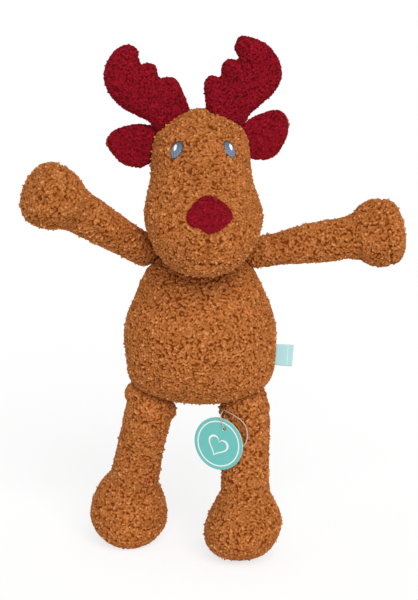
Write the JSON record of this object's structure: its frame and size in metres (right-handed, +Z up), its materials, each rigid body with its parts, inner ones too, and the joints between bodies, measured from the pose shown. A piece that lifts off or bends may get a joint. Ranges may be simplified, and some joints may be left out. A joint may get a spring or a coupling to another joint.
{
  "type": "plush deer",
  "caption": "Stuffed boucle deer standing upright with palm antlers, ears, raised arms and ball feet; its head, limbs, ears, antlers, hang tag and side label bend at their seams.",
  "frame": {"origin": "on the ground under the middle of the deer, with its hang tag and nylon loop left out", "axes": "+Z up, the deer faces -Y, +X to the right of a viewer who faces it"},
  "size_m": [0.2704, 0.1228, 0.3784],
  "materials": {
    "caramel_boucle": "looped boucle pile",
    "crimson_boucle": "fine looped boucle pile",
    "stuffing": "loose polyester fibre",
    "eye_thread": "satin stitch embroidery",
    "glint_thread": "satin stitch embroidery",
    "ribbon": "woven satin ribbon",
    "card": "printed matte card",
    "nylon": "thin clear nylon"
  },
  "bodies": {
    "torso": {"torso_cover": "caramel_boucle", "torso_filling": "stuffing"},
    "head": {"head_cover": "caramel_boucle", "head_filling": "stuffing", "nose": "crimson_boucle", "eye_left": "eye_thread", "eye_right": "eye_thread", "glint_left": "glint_thread", "glint_right": "glint_thread"},
    "antler_left": {"antler_left_cover": "crimson_boucle", "antler_left_filling": "stuffing"},
    "antler_right": {"antler_right_cover": "crimson_boucle", "antler_right_filling": "stuffing"},
    "ear_left": {"ear_left_lining": "crimson_boucle", "ear_left_back": "caramel_boucle"},
    "ear_right": {"ear_right_lining": "crimson_boucle", "ear_right_back": "caramel_boucle"},
    "arm_left": {"arm_left_cover": "caramel_boucle", "arm_left_filling": "stuffing"},
    "arm_right": {"arm_right_cover": "caramel_boucle", "arm_right_filling": "stuffing"},
    "leg_left": {"leg_left_cover": "caramel_boucle", "leg_left_filling": "stuffing"},
    "leg_right": {"leg_right_cover": "caramel_boucle", "leg_right_filling": "stuffing"},
    "label": {"side_label": "ribbon"},
    "tag": {"hang_tag": "card", "tag_loop": "nylon"}
  },
  "joints": [
    {"name": "neck_nod", "type": "hinge", "parent": "torso", "child": "head", "pos_m": [-0.01123, 0.0118, 0.234], "axis": [0.9976, 0.0698, 0], "range_deg": [-25, 0]},
    {"name": "shoulder_left", "type": "hinge", "parent": "torso", "child": "arm_left", "pos_m": [-0.05173, 0.0118, 0.226], "axis": [-0.5878, 0.809, 0], "range_deg": [-45, 16]},
    {"name": "shoulder_right", "type": "hinge", "parent": "torso", "child": "arm_right", "pos_m": [0.02927, 0.0118, 0.226], "axis": [0, -1, 0], "range_deg": [-28, 50]},
    {"name": "hip_left", "type": "hinge", "parent": "torso", "child": "leg_left", "pos_m": [-0.04853, 0.00781, 0.108], "axis": [-1, 0, 0], "range_deg": [-10, 42]},
    {"name": "hip_right", "type": "hinge", "parent": "torso", "child": "leg_right", "pos_m": [0.02247, 0.00781, 0.108], "axis": [-1, 0, 0], "range_deg": [-36, 10]},
    {"name": "ear_left_fold", "type": "hinge", "parent": "head", "child": "ear_left", "pos_m": [-0.047, 0.0073, 0.3005], "axis": [0, 0, 1], "range_deg": [-25, 25]},
    {"name": "ear_right_fold", "type": "hinge", "parent": "head", "child": "ear_right", "pos_m": [0.02483, 0.01232, 0.305], "axis": [0.4529, 0.0317, -0.891], "range_deg": [-25, 25]},
    {"name": "antler_left_flop", "type": "hinge", "parent": "head", "child": "antler_left", "pos_m": [-0.03389, 0.00621, 0.32], "axis": [0.8446, 0.4119, 0.342], "range_deg": [-20, 20]},
    {"name": "antler_right_flop", "type": "hinge", "parent": "head", "child": "antler_right", "pos_m": [0.00651, 0.00904, 0.321], "axis": [0.9962, 0.0697, -0.0523], "range_deg": [-20, 20]},
    {"name": "label_bend", "type": "hinge", "parent": "torso", "child": "label", "pos_m": [0.04357, 0.00781, 0.1505], "axis": [0.0698, 0, 0.9976], "range_deg": [-50, 50]},
    {"name": "tag_swing", "type": "hinge", "parent": "leg_right", "child": "tag", "pos_m": [0.00877, -0.00319, 0.1124], "axis": [-1, 0, 0], "range_deg": [0, 25]}
  ]
}
